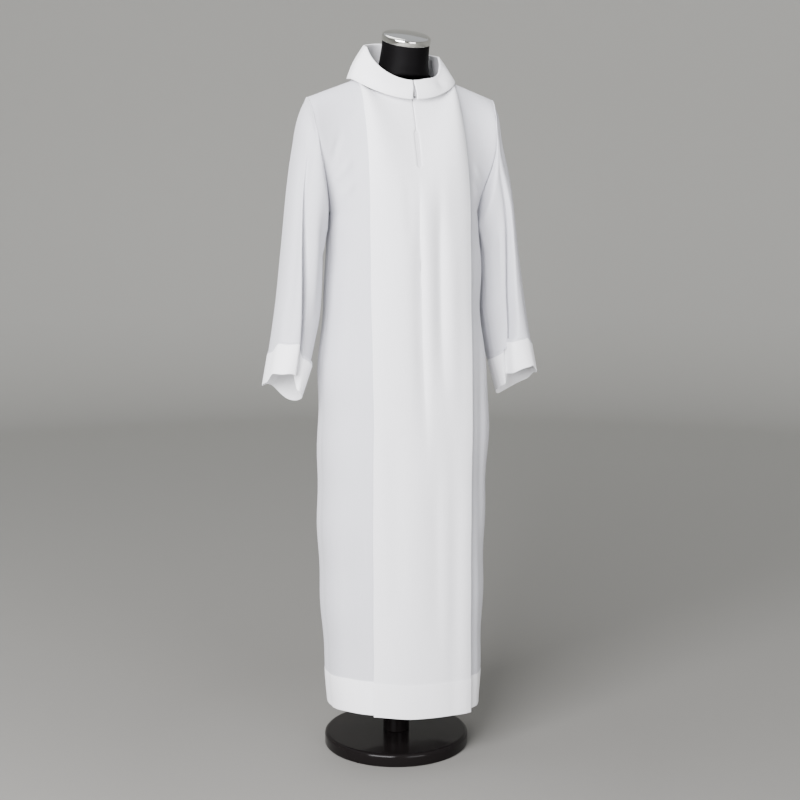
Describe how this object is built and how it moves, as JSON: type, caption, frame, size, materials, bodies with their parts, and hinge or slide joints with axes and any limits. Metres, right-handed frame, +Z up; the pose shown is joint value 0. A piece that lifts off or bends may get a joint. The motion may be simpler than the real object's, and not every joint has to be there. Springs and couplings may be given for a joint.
{
  "type": "alb robe on a limbless dress form with a stand",
  "caption": "Long white alb with a box-pleat front, roll collar and wide sleeves, worn by a limbless dress form on a pole and round base.",
  "frame": {"origin": "centre of the base's underside, on the floor", "axes": "+Z up, -Y out of the robe's front, -X towards the wearer's right sleeve"},
  "size_m": [0.658, 0.3508, 1.6679],
  "materials": {
    "robe_cloth": "matt white woven polyester",
    "zip_tape": "white woven tape with moulded teeth",
    "form_cover": "black stretch cover, matt with a slight sheen",
    "neck_cap": "polished chrome",
    "stand_gloss": "glossy black"
  },
  "bodies": {
    "root": {"front_panel": "robe_cloth", "front_side_right": "robe_cloth", "front_side_left": "robe_cloth", "back": "robe_cloth", "sleeve_right": "robe_cloth", "sleeve_left": "robe_cloth", "collar": "robe_cloth", "zip_tape_right": "zip_tape", "zip_tape_left": "zip_tape", "form_torso": "form_cover", "neck_cap": "neck_cap", "pole": "stand_gloss", "base_disk": "stand_gloss"}
  },
  "joints": []
}
